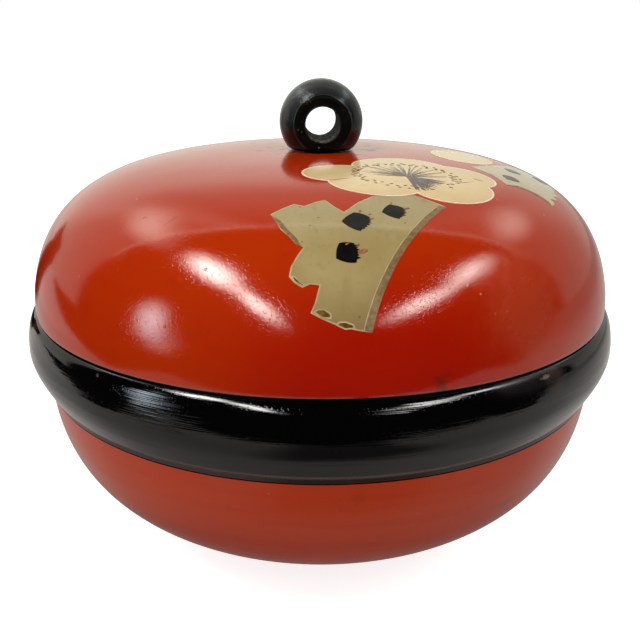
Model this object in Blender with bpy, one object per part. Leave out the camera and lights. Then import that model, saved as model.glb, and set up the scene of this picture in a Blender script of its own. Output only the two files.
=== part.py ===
"""Lidded lacquer sweets bowl.

A turned bowl carries a black rim ring round its neck. A domed lid stands on the ring, centred by the
neck that reaches up inside it, and is lifted by a bored ball knob that a peg holds on its crown.
Metres, +Z up. The origin is the middle of the face that the bowl stands on.
"""

import math

import bmesh
import bpy
from mathutils import Vector
from mathutils.geometry import interpolate_bezier

# Overall size, and the fits between pieces
RING_RADIUS = 0.1050        # crest of the rim ring, the widest place
FIT = 0.0003                # glue line or resting gap between two faces
LID_PLAY = 0.0005           # radial play of the lid round the neck

# Foot ring, turned in one with the bowl
FOOT_RADIUS = 0.0450        # outside, at the ground
FOOT_HEIGHT = 0.0060        # ground to the lowest point of the round underside
FOOT_FLARE = 0.0012         # how much wider the foot is where it leaves the underside
FOOT_WIDTH = 0.0055         # width of the standing face with its chamfers
FOOT_RECESS = 0.0045        # depth of the hollow inside the foot
FOOT_EDGE = 0.0008          # chamfer on both edges of the standing face

# Bowl
BOWL_DEPTH = 0.0580         # round underside to the ledge that the ring stands on
LEDGE_WIDTH = 0.0027        # how far the ledge stands out from the neck
BELLY_LEAN = 0.0022         # inward lean of the side below the ledge
BELLY_DROP = 0.0360         # length of the steep side
BELLY_REACH = 0.0730        # how far out the flat underside pulls the curve
FLOOR = 0.0080              # thickness of the bottom above the round underside
WALL = 0.0050               # wall of the side and of the neck
UPSTAND = 0.0050            # height of the neck above the ring, inside the lid

# Rim ring
RING_PROUD = 0.0030         # how far the crest stands out from the lid
RING_HEIGHT = 0.0260
RING_CREST = 0.0145         # height of the crest above the lower face
RING_FULLNESS = 0.0043      # how far the lower slope stays full below the crest
RING_COVE = 0.0012          # radius of the cove between the lower arris and the bowl

# Lid
LID_HEIGHT = 0.0505         # lower face to the flat under the knob
LID_WALL = 0.0052           # wall at the lower edge
LID_EDGE = 0.0012           # rounding of the lower edge
LID_MOUTH = 0.0008          # chamfer that leads the neck in
LID_LEAN = 0.0029           # inward lean of the side
LID_SHOULDER = 0.0082       # how far the steep side stops below the top
LID_CROWN = 0.0690          # how far out the flat crown pulls the curve
LID_LAND = 0.0015           # straight inner wall above the neck
LID_SHELL = 0.0080          # thickness of the crown
LID_HOLLOW_SHOULDER = 0.0030  # how far the steep inner side stops below the hollow's top

# Knob and its peg
KNOB_RADIUS = 0.0147
KNOB_FACE = 0.0111          # centre to each flat face
KNOB_SEAT = 0.0094          # centre to the flat that it stands on
KNOB_SEAT_ROUND = 0.0030    # rounding between that flat and the ball
KNOB_SEAT_MARGIN = 0.0004   # flat of the crown beyond the knob
EYE_RADIUS = 0.0058
EYE_EDGE = 0.0006           # chamfer of the eye's mouths
PEG_RADIUS = 0.0040
PEG_IN_LID = 0.0048
PEG_IN_KNOB = 0.0020

# Facets
TURN_STEPS = 64             # round the bowl, ring and lid
KNOB_STEPS = 36             # round the knob's eye and its seat
PEG_STEPS = 20
CURVE_STEPS = 9             # along a side
ROUND_STEPS = 3             # along a small rounding
MERGE = 0.000001
SHARP_ANGLE = math.radians(35)

# Radii and heights that several pieces share
LID_RADIUS = RING_RADIUS - RING_PROUD
LID_INNER = LID_RADIUS - LID_WALL
NECK_RADIUS = LID_INNER - LID_PLAY
SHOULDER_RADIUS = NECK_RADIUS + LEDGE_WIDTH
PEG_HOLE_RADIUS = PEG_RADIUS + FIT
SEAT_RADIUS = math.sqrt(KNOB_RADIUS ** 2 - KNOB_SEAT ** 2) + KNOB_SEAT_MARGIN
LEDGE = FOOT_HEIGHT + BOWL_DEPTH
RING_BOTTOM = LEDGE + FIT
RING_TOP = RING_BOTTOM + RING_HEIGHT
LID_BOTTOM = RING_TOP + FIT
KNOB_CENTRE = LID_HEIGHT + FIT + KNOB_SEAT


def curve(start, start_pull, end_pull, end, steps=CURVE_STEPS):
    """Points of a cubic curve in the (radius, height) plane, both ends included."""
    knots = [Vector(point) for point in (start, start_pull, end_pull, end)]
    return [tuple(point) for point in interpolate_bezier(*knots, steps + 1)]


def arc(centre, radii, start, end, steps=ROUND_STEPS):
    """Points of an elliptical arc about centre, from angle start to angle end in degrees."""
    points = []
    for step in range(steps + 1):
        angle = math.radians(start + (end - start) * step / steps)
        points.append((centre[0] + radii[0] * math.cos(angle), centre[1] + radii[1] * math.sin(angle)))
    return points


def between(start, end, share):
    """The point at a share of the way from start to end."""
    return tuple(a + (b - a) * share for a, b in zip(start, end))


def height_at(points, radius):
    """Height of a falling outline where it crosses a radius."""
    for outer, inner in zip(points, points[1:]):
        if inner[0] <= radius <= outer[0]:
            return between(outer, inner, (outer[0] - radius) / (outer[0] - inner[0]))[1]
    return points[-1][1]


def lacquer(name, colour, roughness):
    material = bpy.data.materials.new(name)
    material.use_nodes = True
    shader = material.node_tree.nodes["Principled BSDF"]
    shader.inputs["Base Color"].default_value = (*colour, 1.0)
    shader.inputs["Roughness"].default_value = roughness
    shader.inputs["Metallic"].default_value = 0.0
    return material


def place(name, bm, material, location, parent):
    """Finish a mesh: one closed body facing out, shaded smooth, in its place under its parent."""
    bmesh.ops.remove_doubles(bm, verts=bm.verts, dist=MERGE)
    bmesh.ops.recalc_face_normals(bm, faces=bm.faces)
    mesh = bpy.data.meshes.new(name)
    bm.to_mesh(mesh)
    bm.free()
    mesh.shade_smooth()
    mesh.set_sharp_from_angle(angle=SHARP_ANGLE)
    mesh.materials.append(material)
    piece = bpy.data.objects.new(name, mesh)
    piece.location = location
    piece.parent = parent
    bpy.context.scene.collection.objects.link(piece)
    return piece


def turned(outline, steps):
    """Turn an outline of (radius, height) points once round the Z axis.

    An outline that starts and ends on the axis makes a solid block, any other closes into a ring.
    """
    bm = bmesh.new()
    verts = [bm.verts.new((radius, 0.0, height)) for radius, height in outline]
    edges = [bm.edges.new(pair) for pair in zip(verts, verts[1:])]
    if outline[0][0] > 0.0:
        edges.append(bm.edges.new((verts[-1], verts[0])))
    bmesh.ops.spin(
        bm, geom=verts + edges, cent=(0, 0, 0), axis=(0, 0, 1), angle=math.tau, steps=steps, use_merge=True
    )
    return bm


def shape_with(piece, operation, bm, name, location):
    """Shape a piece by a Boolean with another form, which stays as a hidden guide."""
    form = place(name, bm, piece.data.materials[0], location, piece.parent)
    form.hide_render = True
    form.display_type = "WIRE"
    modifier = piece.modifiers.new(name, "BOOLEAN")
    modifier.operation = operation
    modifier.solver = "EXACT"
    modifier.object = form


def empty(name, location):
    frame = bpy.data.objects.new(name, None)
    frame.location = location
    bpy.context.scene.collection.objects.link(frame)
    return frame


def make_bowl(material, parent):
    floor = FOOT_HEIGHT + FLOOR
    inner = NECK_RADIUS - WALL
    lip = RING_TOP + UPSTAND
    hollow = curve(
        (0.0, floor),
        (BELLY_REACH - WALL, floor),
        (inner - BELLY_LEAN, LEDGE - BELLY_DROP + WALL),
        (inner, LEDGE),
    )
    rounded_lip = arc((NECK_RADIUS - WALL / 2, lip - WALL / 2), (WALL / 2, WALL / 2), 180, 0, 2 * ROUND_STEPS)
    underside = curve(
        (SHOULDER_RADIUS, LEDGE),
        (SHOULDER_RADIUS - BELLY_LEAN, LEDGE - BELLY_DROP),
        (BELLY_REACH, FOOT_HEIGHT),
        (0.0, FOOT_HEIGHT),
        2 * CURVE_STEPS,
    )
    foot_top = FOOT_RADIUS + FOOT_FLARE
    belly = [point for point in underside if point[0] > foot_top]
    foot_inner = FOOT_RADIUS - FOOT_WIDTH
    foot = [
        (foot_top, height_at(underside, foot_top)),
        (FOOT_RADIUS, FOOT_EDGE),
        (FOOT_RADIUS - FOOT_EDGE, 0.0),
        (foot_inner + FOOT_EDGE, 0.0),
        (foot_inner, FOOT_EDGE),
        (foot_inner - FOOT_FLARE, FOOT_RECESS),
        (0.0, FOOT_RECESS),
    ]
    outline = hollow + rounded_lip + [(NECK_RADIUS, LEDGE)] + belly + foot
    return place("bowl_body", turned(outline, TURN_STEPS), material, (0, 0, 0), parent)


def make_ring(material, parent):
    bore = NECK_RADIUS + FIT
    top_edge = LID_RADIUS - LID_EDGE
    crest = (RING_RADIUS, RING_CREST)
    arris = (SHOULDER_RADIUS + RING_COVE, RING_COVE)
    corner = (RING_RADIUS, RING_CREST - RING_FULLNESS)
    cove = arc((arris[0], 0.0), (RING_COVE, RING_COVE), 180, 90)
    slope = curve(arris, between(arris, corner, 2 / 3), between(crest, corner, 2 / 3), crest, CURVE_STEPS - 2)
    upper = arc(
        (top_edge, RING_CREST),
        (RING_RADIUS - top_edge, RING_HEIGHT - RING_CREST),
        0,
        90,
        CURVE_STEPS - 2,
    )
    outline = [(bore, 0.0)] + cove + slope[1:] + upper[1:] + [(bore, RING_HEIGHT)]
    return place("rim_ring", turned(outline, TURN_STEPS), material, (0, 0, RING_BOTTOM), parent)


def make_lid(material, parent):
    land = UPSTAND + LID_LAND
    hollow_top = LID_HEIGHT - LID_SHELL
    hollow = curve(
        (0.0, hollow_top),
        (LID_CROWN, hollow_top),
        (LID_INNER - LID_LEAN, hollow_top - LID_HOLLOW_SHOULDER),
        (LID_INNER, land),
    )
    mouth = [(LID_INNER, LID_MOUTH), (LID_INNER + LID_MOUTH, 0.0)]
    edge = arc((LID_RADIUS - LID_EDGE, LID_EDGE), (LID_EDGE, LID_EDGE), 270, 360)
    dome = curve(
        (LID_RADIUS, LID_EDGE),
        (LID_RADIUS - LID_LEAN, LID_HEIGHT - LID_SHOULDER),
        (LID_CROWN, LID_HEIGHT),
        (SEAT_RADIUS, LID_HEIGHT),
        CURVE_STEPS + 3,
    )
    socket_floor = LID_HEIGHT - PEG_IN_LID - FIT
    socket = [(PEG_HOLE_RADIUS, LID_HEIGHT), (PEG_HOLE_RADIUS, socket_floor), (0.0, socket_floor)]
    outline = hollow + mouth + edge + dome[1:] + socket
    return place("lid_shell", turned(outline, TURN_STEPS), material, (0, 0, 0), parent)


def knob_seat_outline():
    """The form that gives the knob its flat seat, rounded into the ball."""
    reach = KNOB_RADIUS - KNOB_SEAT_ROUND
    drop = KNOB_SEAT - KNOB_SEAT_ROUND
    flat = math.sqrt(reach ** 2 - drop ** 2)
    rounding = arc(
        (flat, -drop),
        (KNOB_SEAT_ROUND, KNOB_SEAT_ROUND),
        -90,
        -math.degrees(math.asin(drop / reach)),
    )
    outside = 2 * KNOB_RADIUS
    return [(0.0, -KNOB_SEAT)] + rounding + [(outside, rounding[-1][1]), (outside, outside), (0.0, outside)]


def make_knob(material, parent):
    """A bead turned round its eye, laid with the eye along Y and shaped flat where it stands."""
    half_angle = math.degrees(math.asin(KNOB_FACE / KNOB_RADIUS))
    ball = arc((0.0, 0.0), (KNOB_RADIUS, KNOB_RADIUS), -half_angle, half_angle, CURVE_STEPS)
    mouth = [(EYE_RADIUS + EYE_EDGE, KNOB_FACE), (EYE_RADIUS, KNOB_FACE - EYE_EDGE)]
    far_mouth = [(radius, -height) for radius, height in reversed(mouth)]
    centre = (0, 0, KNOB_CENTRE)
    knob = place("lid_knob", turned(far_mouth + ball + mouth, KNOB_STEPS), material, centre, parent)
    knob.rotation_euler = (math.pi / 2, 0, 0)

    shape_with(knob, "INTERSECT", turned(knob_seat_outline(), KNOB_STEPS), "knob_seat_form", centre)
    peg_hole = turned(peg_outline(PEG_HOLE_RADIUS, PEG_IN_KNOB + 2 * FIT), PEG_STEPS)
    shape_with(knob, "DIFFERENCE", peg_hole, "knob_hole_form", (0, 0, LID_HEIGHT))
    return knob


def peg_outline(radius, length):
    return [(0.0, length), (radius, length), (radius, 0.0), (0.0, 0.0)]


def make_peg(material, parent):
    length = PEG_IN_LID + FIT + PEG_IN_KNOB
    peg = turned(peg_outline(PEG_RADIUS, length), PEG_STEPS)
    return place("knob_peg", peg, material, (0, 0, LID_HEIGHT - PEG_IN_LID), parent)


def build():
    for old in list(bpy.data.objects):
        bpy.data.objects.remove(old, do_unlink=True)

    red = lacquer("red_lacquer", (0.33, 0.014, 0.003), 0.16)
    dull_red = lacquer("bowl_red_lacquer", (0.27, 0.020, 0.006), 0.26)
    black = lacquer("black_lacquer", (0.006, 0.006, 0.006), 0.14)
    knob_black = lacquer("knob_black_lacquer", (0.009, 0.008, 0.008), 0.18)
    wood = lacquer("peg_wood", (0.42, 0.27, 0.14), 0.75)

    stand = empty("bowl_frame", (0, 0, 0))
    lift = empty("lid_lift_axis", (0, 0, LID_BOTTOM))
    make_bowl(dull_red, stand)
    make_ring(black, stand)
    make_lid(red, lift)
    make_knob(knob_black, lift)
    make_peg(wood, lift)


build()
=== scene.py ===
"""A lidded lacquer sweets bowl: red bowl and lid, a black ring between, a bead knob and a painted plum."""

import bisect
import math
import random

import bmesh
import bpy
from mathutils import Matrix, Vector
from mathutils.geometry import interpolate_bezier


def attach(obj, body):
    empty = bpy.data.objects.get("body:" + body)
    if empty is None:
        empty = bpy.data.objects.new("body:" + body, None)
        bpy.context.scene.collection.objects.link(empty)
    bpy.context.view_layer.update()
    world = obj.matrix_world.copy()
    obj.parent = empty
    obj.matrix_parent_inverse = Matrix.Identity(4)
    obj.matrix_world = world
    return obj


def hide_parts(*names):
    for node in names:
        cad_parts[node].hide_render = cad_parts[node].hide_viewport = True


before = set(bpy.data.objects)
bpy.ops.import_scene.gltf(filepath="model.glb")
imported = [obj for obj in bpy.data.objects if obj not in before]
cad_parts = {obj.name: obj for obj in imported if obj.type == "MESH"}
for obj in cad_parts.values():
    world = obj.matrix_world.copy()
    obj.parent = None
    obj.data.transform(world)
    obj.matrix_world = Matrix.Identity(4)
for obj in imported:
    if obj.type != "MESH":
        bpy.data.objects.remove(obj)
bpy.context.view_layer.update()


# The bowl is turned from wood, sealed and brushed with red lacquer outside and black inside.
# It stands on a low turned foot, and a plain neck rises inside its shoulder to hold the ring and the lid.
# The red outside has gone a little dull with handling, and is rubbed thin along the foot.

RING_RADIUS = 0.105
RING_PROUD = 0.003
RING_HEIGHT = 0.026
LID_WALL = 0.0052
LID_PLAY = 0.0005
LEDGE_WIDTH = 0.0027
FIT = 0.0003
LID_RADIUS = RING_RADIUS - RING_PROUD
LID_INNER = LID_RADIUS - LID_WALL
NECK_RADIUS = LID_INNER - LID_PLAY
SHOULDER_RADIUS = NECK_RADIUS + LEDGE_WIDTH
FOOT_RADIUS = 0.045
FOOT_HEIGHT = 0.006
FOOT_WIDTH = 0.0055
FOOT_LEAN = 0.0012
FOOT_EDGE = 0.0008
FOOT_RECESS = 0.0045
BOWL_DEPTH = 0.058
BOWL_FLOOR = 0.008
BOWL_WALL = 0.005
BELLY_LEAN = 0.0022
BELLY_DROP = 0.036
BELLY_WIDE = 0.073
NECK_RISE = 0.005
LEDGE = FOOT_HEIGHT + BOWL_DEPTH
RING_BOTTOM = LEDGE + FIT
RING_TOP = RING_BOTTOM + RING_HEIGHT
NECK_LIP = RING_TOP + NECK_RISE
TURN_STEPS = 224


def curve(start, start_pull, end_pull, end, steps):
    """Points of a cubic curve in the (radius, height) plane, both ends included."""
    knots = [Vector(point) for point in (start, start_pull, end_pull, end)]
    return [tuple(point) for point in interpolate_bezier(*knots, steps + 1)]


def arc(centre, radii, start, end, steps):
    """Points of an elliptical arc about centre, from angle start to angle end in degrees."""
    points = []
    for step in range(steps + 1):
        angle = math.radians(start + (end - start) * step / steps)
        points.append((centre[0] + radii[0] * math.cos(angle), centre[1] + radii[1] * math.sin(angle)))
    return points


def turned(outline, axis="Z", centre=(0, 0, 0), steps=TURN_STEPS):
    """Turn an outline of (radius, distance along the axis) points once round the Z or the Y axis."""
    bm = bmesh.new()
    upright = axis == "Z"
    points = [(radius, 0, along) if upright else (radius, along, 0) for radius, along in outline]
    verts = [bm.verts.new(point) for point in points]
    edges = [bm.edges.new(pair) for pair in zip(verts, verts[1:])]
    if outline[0][0] > 0:
        edges.append(bm.edges.new((verts[-1], verts[0])))
    line = (0, 0, 1) if upright else (0, 1, 0)
    around = {"cent": (0, 0, 0), "axis": line, "angle": math.tau, "steps": steps}
    bmesh.ops.spin(bm, geom=verts + edges, use_merge=True, **around)
    bmesh.ops.remove_doubles(bm, verts=bm.verts, dist=0.000001)
    bmesh.ops.recalc_face_normals(bm, faces=bm.faces)
    bmesh.ops.translate(bm, verts=bm.verts, vec=centre)
    return bm


def set_in_place(name, bm, body, finishes):
    """Make the mesh an object at the origin, smooth apart from its sharp edges, riding on its body."""
    mesh = bpy.data.meshes.new(name)
    bm.to_mesh(mesh)
    bm.free()
    mesh.shade_smooth()
    mesh.set_sharp_from_angle(angle=math.radians(35))
    for finish in finishes:
        mesh.materials.append(finish)
    piece = bpy.data.objects.new(name, mesh)
    bpy.context.scene.collection.objects.link(piece)
    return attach(piece, body)


class Tone:
    """A value in a finish, on which plain arithmetic adds Math nodes."""

    def __init__(self, finish, socket):
        self.finish = finish
        self.socket = socket

    def math(self, operation, first, second=0.0):
        return self.finish.add("ShaderNodeMath", {"operation": operation}, {0: first, 1: second})

    def __add__(self, other):
        return self.math("ADD", self, other)

    def __radd__(self, other):
        return self.math("ADD", other, self)

    def __sub__(self, other):
        return self.math("SUBTRACT", self, other)

    def __rsub__(self, other):
        return self.math("SUBTRACT", other, self)

    def __mul__(self, other):
        return self.math("MULTIPLY", self, other)

    def __rmul__(self, other):
        return self.math("MULTIPLY", other, self)

    def __truediv__(self, other):
        return self.math("DIVIDE", self, other)

    def __pow__(self, other):
        return self.math("POWER", self, other)

    def above(self, other):
        return self.math("GREATER_THAN", self, other)

    def at_least(self, other):
        return self.math("MAXIMUM", self, other)

    def at_most(self, other):
        return self.math("MINIMUM", self, other)

    def size(self):
        return self.math("ABSOLUTE", self)

    def ramp(self, low, high):
        """0 at low and 1 at high with a soft run between; low may be the larger."""
        inputs = {"Value": self, "From Min": low, "From Max": high}
        return self.finish.add("ShaderNodeMapRange", {"interpolation_type": "SMOOTHSTEP"}, inputs)


class Finish:
    """A node tree that is written from the top down: each call adds one node and gives its output back."""

    def __init__(self, owner):
        owner.use_nodes = True
        self.owner = owner
        self.tree = owner.node_tree
        self.tree.nodes.clear()

    def add(self, kind, settings=None, inputs=None, output=0):
        node = self.tree.nodes.new(kind)
        for name, value in (settings or {}).items():
            setattr(node, name, value)
        for name, value in (inputs or {}).items():
            socket = node.inputs[name]
            if isinstance(value, Tone):
                self.tree.links.new(value.socket, socket)
            elif isinstance(value, (tuple, list)) and socket.type == "RGBA":
                socket.default_value = (*value, 1.0)
            else:
                socket.default_value = value
        return Tone(self, node.outputs[output]) if node.outputs else None

    def place(self):
        return self.add("ShaderNodeTexCoord", output="Object")

    def axes(self, vector=None):
        """The X, Y and Z of a vector, or of the place on the piece."""
        vector = vector or self.place()
        return [self.add("ShaderNodeSeparateXYZ", {}, {0: vector}, output=axis) for axis in "XYZ"]

    def stretch(self, scale):
        """The place on the piece, drawn out by a scale on each axis."""
        return self.add("ShaderNodeMapping", {}, {"Vector": self.place(), "Scale": scale})

    def noise(self, scale, detail=3.0, rough=0.5, vector=None):
        inputs = {"Vector": vector or self.place(), "Scale": scale, "Detail": detail, "Roughness": rough}
        return self.add("ShaderNodeTexNoise", {}, inputs, output="Fac")

    def grains(self, scale):
        """Distance to the nearest of a scatter of points, and a number that tells the points apart."""
        inputs = {"Vector": self.place(), "Scale": scale}
        near = self.add("ShaderNodeTexVoronoi", {}, inputs, output="Distance")
        which = Tone(self, near.socket.node.outputs["Color"])
        return near, self.axes(which)[0]

    def far_from(self, point, flat=1.0):
        """Distance from a point on the piece, in metres, in which a height counts so many times as much."""
        inputs = {0: self.stretch((1, 1, flat)), 1: (point[0], point[1], point[2] * flat)}
        return self.add("ShaderNodeVectorMath", {"operation": "DISTANCE"}, inputs, output="Value")

    def blend(self, share, first, second):
        """First colour where share is 0, second where it is 1."""
        return self.add("ShaderNodeMix", {"data_type": "RGBA"}, {0: share, 6: first, 7: second}, output=2)

    def bump(self, height, distance, below=None):
        inputs = {"Height": height, "Distance": distance, "Strength": 1.0}
        if below:
            inputs["Normal"] = below
        return self.add("ShaderNodeBump", {}, inputs)

    def coat(self, colour, roughness, normal=None, gloss=(1, 1, 1)):
        """Close the finish with a glossy surface, its gloss tinted if the lacquer is."""
        inputs = {"Base Color": colour, "Roughness": roughness, "IOR": 1.5, "Specular Tint": gloss}
        if normal:
            inputs["Normal"] = normal
        surface = self.add("ShaderNodeBsdfPrincipled", {}, inputs)
        self.add("ShaderNodeOutputMaterial", {}, {"Surface": surface})
        return self.owner


def lacquer_skin(finish, wave, grain):
    """Brushed lacquer is never quite flat: slow waves, a fine grain, and dust that dried in it."""
    slow = finish.noise(38.0, detail=1.0)
    fine = finish.noise(1500.0, detail=2.0, rough=0.6)
    near, which = finish.grains(260.0)
    nib = near.ramp(0.16, 0.02) * which.above(0.92)
    waves = finish.bump(slow, wave)
    grained = finish.bump(fine.ramp(0.52, 0.74) + fine * 0.5, grain, waves)
    return finish.bump(nib, 0.00006, grained), fine, nib


def dull_red():
    finish = Finish(bpy.data.materials.new("bowl_red"))
    normal, fine, nib = lacquer_skin(finish, 0.00030, 0.000006)
    height = finish.axes()[2]
    cloud = finish.noise(22.0, detail=4.0)
    streak = finish.noise(1.0, detail=3.0, vector=finish.stretch((14.0, 14.0, 260.0)))
    colour = finish.blend(cloud, (0.44, 0.027, 0.0030), (0.50, 0.042, 0.0060))
    colour = finish.blend(streak.ramp(0.45, 0.75) * 0.35, colour, (0.36, 0.019, 0.003))
    stain = finish.noise(55.0, detail=5.0, rough=0.6).ramp(0.60, 0.72)
    colour = finish.blend(stain * 0.30, colour, (0.22, 0.012, 0.003))
    rubbed = height.ramp(0.0065, 0.0005) * finish.noise(240.0, detail=4.0).ramp(0.40, 0.62)
    colour = finish.blend(rubbed * 0.8, colour, (0.12, 0.035, 0.016))
    colour = finish.blend(nib * 0.6, colour, (0.30, 0.12, 0.07))
    roughness = 0.16 + cloud * 0.06 + fine * 0.06
    return finish.coat(colour, roughness, normal, (1.0, 0.95, 0.78))


def inside_black():
    finish = Finish(bpy.data.materials.new("inside_black"))
    normal = lacquer_skin(finish, 0.00025, 0.000003)[0]
    cloud = finish.noise(30.0, detail=4.0)
    hair = finish.noise(1.0, detail=5.0, vector=finish.stretch((50.0, 50.0, 700.0)))
    colour = finish.blend(cloud, (0.006, 0.0055, 0.0055), (0.011, 0.009, 0.0085))
    colour = finish.blend(hair.ramp(0.62, 0.74) * 0.5, colour, (0.035, 0.030, 0.027))
    return finish.coat(colour, 0.15 + cloud * 0.08 + hair.ramp(0.6, 0.75) * 0.15, normal)


bowl_floor = FOOT_HEIGHT + BOWL_FLOOR
bowl_inner = NECK_RADIUS - BOWL_WALL
foot_inner = FOOT_RADIUS - FOOT_WIDTH
underside = curve(
    (SHOULDER_RADIUS, LEDGE),
    (SHOULDER_RADIUS - BELLY_LEAN, LEDGE - BELLY_DROP),
    (BELLY_WIDE, FOOT_HEIGHT),
    (0, FOOT_HEIGHT),
    120,
)
hollow = curve(
    (0, bowl_floor),
    (BELLY_WIDE - BOWL_WALL, bowl_floor),
    (bowl_inner - BELLY_LEAN, LEDGE - BELLY_DROP + BOWL_WALL),
    (bowl_inner, LEDGE),
    64,
)
half_wall = BOWL_WALL / 2
lip = arc((NECK_RADIUS - half_wall, NECK_LIP - half_wall), (half_wall, half_wall), 180, 0, 16)
belly = [point for point in underside if point[0] > FOOT_RADIUS + FOOT_LEAN]
foot = [
    (FOOT_RADIUS + FOOT_LEAN, belly[-1][1]),
    (FOOT_RADIUS, FOOT_EDGE),
    (FOOT_RADIUS - 0.0003, 0.0002),
    (FOOT_RADIUS - FOOT_EDGE, 0),
    (foot_inner + FOOT_EDGE, 0),
    (foot_inner + 0.0003, 0.0002),
    (foot_inner, FOOT_EDGE),
    (foot_inner - FOOT_LEAN, FOOT_RECESS),
    (0, FOOT_RECESS),
]
bm = turned(hollow + lip + [(NECK_RADIUS, LEDGE)] + belly + foot)
for face in bm.faces:
    middle = face.calc_center_median()
    under_foot = middle.z < FOOT_RECESS + 0.0001 and math.hypot(middle.x, middle.y) < foot_inner
    upward = face.normal.z > 0 or middle.z > LEDGE
    face.material_index = 1 if upward or under_foot else 0
bowl = set_in_place("bowl_wood", bm, "bowl", [dull_red(), inside_black()])
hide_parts("bowl_body")


# The ring is a separate hoop of wood, pushed over the neck and down on the ledge, and lacquered black.
# It is a half round, fuller below its crest than above, over a narrow upright band where it meets the bowl.
# The brush went round the hoop. It is chipped and worn brown in places, and has a grey bloom at the right,
# lightened by a painted sheen.

RING_CREST = 0.0145
RING_FULL = 0.0043
RING_BAND = 0.0016
BAND_PROUD = 0.0004
ARRIS_OUT = 0.0009
ARRIS_UP = 0.0008
TOP_INSET = 0.0012


def worn_black():
    finish = Finish(bpy.data.materials.new("ring_black"))
    # Brush strokes round the hoop, heavier in two places, and dust that dried in the lacquer.
    brushed = finish.noise(1.0, detail=4.0, vector=finish.stretch((26.0, 26.0, 800.0)))
    broad = finish.noise(1.0, detail=2.0, vector=finish.stretch((16.0, 16.0, 150.0)))
    fine = finish.noise(1700.0, detail=2.0)
    near, which = finish.grains(210.0)
    nib = near.ramp(0.17, 0.03) * which.above(0.90)
    normal = finish.bump(broad, 0.00032)
    strokes = finish.noise(1.0, detail=2.0, vector=finish.stretch((28.0, 28.0, 1500.0)))
    heavy = finish.far_from((-0.0475, -0.0932, 0.0838), 2.2).ramp(0.018, 0.008) * 1.8
    heavy = heavy + finish.far_from((0.0190, -0.1010, 0.0870), 2.5).ramp(0.024, 0.010) * 0.5
    normal = finish.bump(brushed, 0.00005, normal)
    normal = finish.bump(strokes * (0.10 + heavy), 0.00011, normal)
    normal = finish.bump(fine.ramp(0.56, 0.74), 0.000009, normal)
    normal = finish.bump(nib, 0.00009, normal)
    # Black that turns thin and brown towards the lower edge. A painted reflection lightens the narrow band,
    # and a painted highlight runs pale along the arris, stronger at both sides.
    right, _, height = finish.axes()
    cloud = finish.noise(45.0, detail=4.0)
    colour = finish.blend(cloud, (0.0006, 0.0005, 0.0005), (0.0018, 0.0016, 0.0017))
    thin = height.ramp(RING_BOTTOM + 0.0075, RING_BOTTOM + 0.0015) * cloud.ramp(0.35, 0.6)
    colour = finish.blend(thin * 0.75, colour, (0.020, 0.011, 0.009))
    band_end = RING_BOTTOM + RING_BAND
    edge = (height - (band_end + ARRIS_UP)).size().ramp(0.0012, 0.0004) * brushed.ramp(0.30, 0.55)
    band_reflection = height.ramp(band_end + 0.0006, band_end - 0.0002)
    colour = finish.blend(band_reflection * 0.6, colour, (0.036, 0.026, 0.023))
    colour = finish.blend(edge * (0.4 + right.size().ramp(0.03, 0.085) * 0.5), colour, (0.17, 0.120, 0.102))
    # A chip, two stains and the bloom with a painted sheen on it, each in its place.
    ragged = finish.noise(320.0, detail=4.0) * 0.004
    chip = (finish.far_from((0.0595, -0.0840, 0.0886), 2.6) + ragged).ramp(0.0042, 0.0034)
    stain = (finish.far_from((0.0635, -0.0818, 0.0872)) + ragged).ramp(0.0085, 0.0030)
    stain_left = (finish.far_from((-0.0965, -0.0385, 0.0860)) + ragged).ramp(0.0090, 0.0035)
    bloom_and_sheen = (finish.far_from((0.0540, -0.0875, 0.0890), 4.0) + ragged * 1.5).ramp(0.022, 0.010)
    colour = finish.blend(bloom_and_sheen * 0.6, colour, (0.010, 0.0088, 0.0088))
    colour = finish.blend(stain * 0.7, colour, (0.032, 0.017, 0.011))
    colour = finish.blend(stain_left * 0.7, colour, (0.085, 0.045, 0.028))
    colour = finish.blend(chip * 0.9, colour, (0.12, 0.080, 0.045))
    colour = finish.blend(nib * 0.5, colour, (0.10, 0.095, 0.09))
    roughness = 0.03 + brushed * 0.04 + chip * 0.35 + stain * 0.12 + nib * 0.2 + bloom_and_sheen * 0.2
    return finish.coat(colour, roughness, normal)


band = SHOULDER_RADIUS + BAND_PROUD
arris = (band + ARRIS_OUT, RING_BAND + ARRIS_UP)
crest = (RING_RADIUS, RING_CREST)
corner = (RING_RADIUS, RING_CREST - RING_FULL)


def part_way(start, end, share):
    """The point that lies a share of the way from start to end."""
    return tuple(a + (b - a) * share for a, b in zip(start, end))


slope = curve(arris, part_way(arris, corner, 2 / 3), part_way(crest, corner, 2 / 3), crest, 28)
rounded = curve((band, RING_BAND), arris, arris, slope[3], 8)
ring_top = LID_RADIUS - TOP_INSET
upper = arc((ring_top, RING_CREST), (RING_RADIUS - ring_top, RING_HEIGHT - RING_CREST), 0, 90, 28)
bore = NECK_RADIUS + FIT
foot_edge = [(bore, 0), (SHOULDER_RADIUS, 0), (SHOULDER_RADIUS + BAND_PROUD / 2, 0.0002)]
outline = foot_edge + rounded + slope[4:] + upper[1:] + [(bore, RING_HEIGHT)]
bm = turned(outline, centre=(0, 0, RING_BOTTOM))
ring = set_in_place("ring_hoop", bm, "bowl", [worn_black()])
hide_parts("rim_ring")


# The lid is turned thin from one block, red outside and black inside, and its mouth drops over the neck.
# Its side turns in a hair over the rounded lower edge, and so mirrors the table there.
# It has a high gloss with fine grain in the highlights, hair scratches, a few pits and a rubbed lower edge,
# whose pale is partly a painted highlight.

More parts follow.
